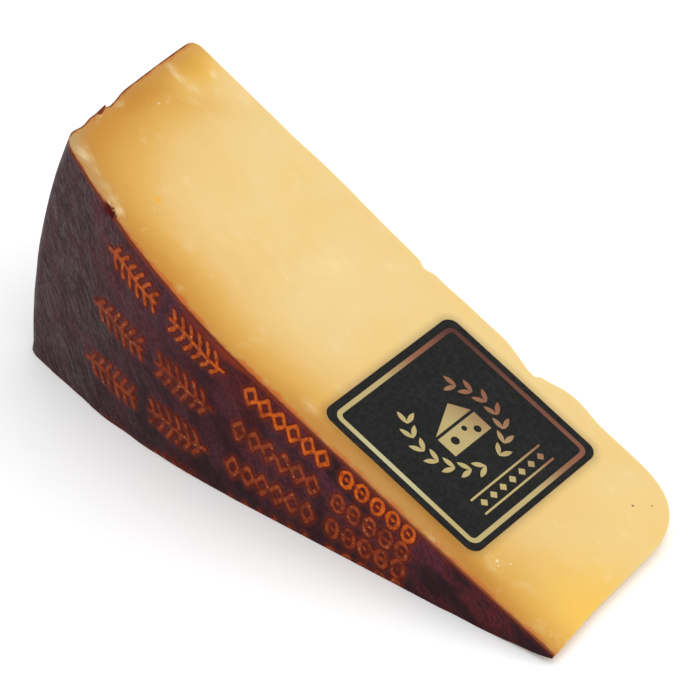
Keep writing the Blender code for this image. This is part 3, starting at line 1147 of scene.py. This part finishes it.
def buildFoil(material):
    curve = bpy.data.curves.new("foil", "CURVE")
    curve.dimensions = "2D"
    curve.fill_mode = "BOTH"
    curve.extrude = foilLook["thickness"] / 2
    for loop in foilLoops():
        spline = curve.splines.new("POLY")
        spline.points.add(len(loop) - 1)
        for point, (x, y) in zip(spline.points, loop):
            point.co = (x * mm, y * mm, 0.0, 1.0)
        spline.use_cyclic_u = True
    shape = newObject("foil_lines", curve)
    mesh = evaluatedMesh(shape)
    bpy.data.objects.remove(shape)
    closeMesh(mesh)
    top = labelLook["bottom"] + labelLook["thickness"] + foilLook["lift"]
    mesh.transform(onLabel(top))
    foil = newObject("label_foil", mesh)
    mesh.materials.append(material)
    radius, turn, y = placesOf(vectorsOf(mesh.vertices, "co"))
    addField(mesh, "toBack", (y - labelLook["depth"]) / mm)
    addField(mesh, "toRim", (radius - labelLook["radius"]) / mm)
    return foil


def buildFoilMaterial(grain):
    material, tree, shader = newMaterial("label foil")
    place = placeNode(tree)
    toBack, toRim = fieldNode(tree, "toBack"), fieldNode(tree, "toRim")
    # the foil turns from gold to copper and maroon towards its back and rim corner
    tilted = plus(toBack, times(toRim, 0.22))
    drift = times(minus(noisy(place, 60.0), 0.5), 9.0)
    at = plus(tilted, drift)
    # with a painted highlight: a paler stretch on the side of the coated face
    middle = ranged(maths("ABSOLUTE", minus(toRim, 4.0)), 5.0, 20.0, 1.0, 0.0)
    paintedHighlight = times(ranged(toBack, -24.0, -14.0, 0.9, 0.0), middle)
    body = mixed(paintedHighlight, foilLook["gold"], foilLook["highlightGold"])
    body = mixed(ranged(at, -3.0, 14.0), body, foilLook["copper"])
    body = mixed(ranged(at, 13.0, 27.0), body, foilLook["maroon"])
    finishSurface(shader, grain, place, body, foilLook)
    fillSockets(shader, {"Metallic": foilLook["metallic"]})
    return material


# The loose flake at the rim's upper edge

flakeLook = {
    "from": 0.0240,            # depth y where it leaves the rim
    "to": 0.0303,
    "sink": 0.00025,           # how deep it sits in the rim
    "standOut": 0.0003,        # how far its end stands out of the rim and above the cut
    "standUp": 0.0005,
    "footSink": 0.0003,        # how far its foot lies below the cut
    "width": 0.0016,
    "thickness": 0.0003,
    "colour": colour(128, 54, 16),
    "roughness": (0.35, 0.5),
    "grainSize": 1800.0,
    "specular": 0.10,
}


def buildFlake(material):
    # a thin curling strip of coating, wider at its foot and pointed at its end
    strip = ((0.0, 0.0), (0.0, 1.0), (-0.5, 1.1), (-1.0, 0.4), (-1.0, 0.0))
    points, faces = [], []
    for t in np.linspace(0.0, 1.0, 10):
        y = flakeLook["from"] + (flakeLook["to"] - flakeLook["from"]) * t
        curl = t ** 1.8
        outer = float(rimRadius(y)) - flakeLook["sink"] + flakeLook["standOut"] * curl
        width = flakeLook["width"] * (1.0 - 0.75 * t ** 2)
        lift = flakeLook["standUp"] * curl - flakeLook["footSink"] * (1 - t)
        thick = flakeLook["thickness"] * (1.0 - 0.6 * t)
        for back, up in strip:
            point = Vector(onAxis(outer + width * back, y, wheel["angle"]))
            points.append(point + outOfCut * (lift + thick * (up - 0.5)))
    count = len(strip)
    for i in range(len(points) - count):
        j = i + 1 if (i + 1) % count else i + 1 - count
        faces.append((i, j, j + count, i + count))
    faces += [range(count), range(len(points) - count, len(points))]
    mesh = bpy.data.meshes.new("flake")
    mesh.from_pydata(points, [], faces)
    closeMesh(mesh)
    flake = newObject("rind_flake", mesh)
    soft = flake.modifiers.new("round", "SUBSURF")
    soft.levels = soft.render_levels = 2
    applyModifiers(flake)
    flake.data.materials.append(material)
    return flake


def buildFlakeMaterial(grain):
    material, tree, shader = newMaterial("loose coating")
    place = placeNode(tree)
    mottle = noisy(place, 700.0, 4.0)
    body = mixed(ranged(mottle, 0.4, 0.65), flakeLook["colour"], pasteLook["line"])
    finishSurface(shader, grain, place, body, flakeLook)
    return material


# Floor, lights and camera

studio = {
    "floor": colour(250, 250, 250),
    "floorSize": 8.0,
    "floorDrop": 0.0001,       # so that the wedge's underside doesn't fight it
    "floorGlow": 0.12,
    "floorRoughness": 0.8,
    "world": 0.86,
    "cameraAt": (0.4028, -0.5326, 0.5258),
    "right": (0.7869, 0.6164, 0.0276),
    "up": (-0.3861, 0.4571, 0.8012),
    "lens": 180.0,
    "lightsAimAt": (0.0, 0.0, 0.03),
    # name, place, size, watts
    "lights": (
        ("top softbox", (0.30, 0.15, 1.00), 1.2, 3.4),
        ("front fill", (0.15, -0.95, 0.55), 0.8, 0.8),
    ),
}


def buildStudio():
    bpy.ops.mesh.primitive_plane_add(size=studio["floorSize"])
    floor = bpy.context.object
    floor.name = "floor"
    floor.location.z = -studio["floorDrop"]
    material, tree, shader = newMaterial("pale floor")
    fillSockets(shader, {
        "Base Color": studio["floor"],
        "Emission Color": studio["floor"],
        "Emission Strength": studio["floorGlow"],
        "Roughness": studio["floorRoughness"],
    })
    floor.data.materials.append(material)

    world = bpy.data.worlds.new("studio")
    bpy.context.scene.world = world
    world.use_nodes = True
    back = world.node_tree.nodes["Background"]
    fillSockets(back, {"Color": (1.0, 1.0, 1.0, 1.0), "Strength": studio["world"]})

    for name, place, size, watts in studio["lights"]:
        lamp = bpy.data.lights.new(name, "AREA")
        lamp.energy = watts
        lamp.size = size
        made = newObject(name, lamp)
        made.location = place
        aim = Vector(studio["lightsAimAt"]) - Vector(place)
        made.rotation_euler = aim.to_track_quat("-Z", "Y").to_euler()

    camera = bpy.data.cameras.new("camera")
    camera.lens = studio["lens"]
    camera.clip_start = 0.01
    camera.clip_end = 20.0
    made = newObject("camera", camera)
    made.matrix_world = frameAt(studio["cameraAt"], studio["right"], studio["up"])
    bpy.context.scene.camera = made
    bpy.context.scene.view_settings.view_transform = "Standard"


# Putting it together

def main():
    buildStudio()
    print("studio ready")
    grain = buildGrainGroup()
    paste = buildPaste(grain)
    coating = buildCoating(grain)
    print("materials ready")

    wedge = buildWedgeMesh()
    setMaterials(wedge, paste, coating)
    addRelief(wedge)
    print("wedge:", len(wedge.data.polygons), "faces")

    label = buildLabel(buildLabelMaterial(grain))
    foil = buildFoil(buildFoilMaterial(grain))
    flake = buildFlake(buildFlakeMaterial(grain))
    print("label, foil and flake ready")

    for piece in (wedge, label, foil, flake):
        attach(piece, "root")
    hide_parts("cheese_wedge")
    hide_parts("label")


main()
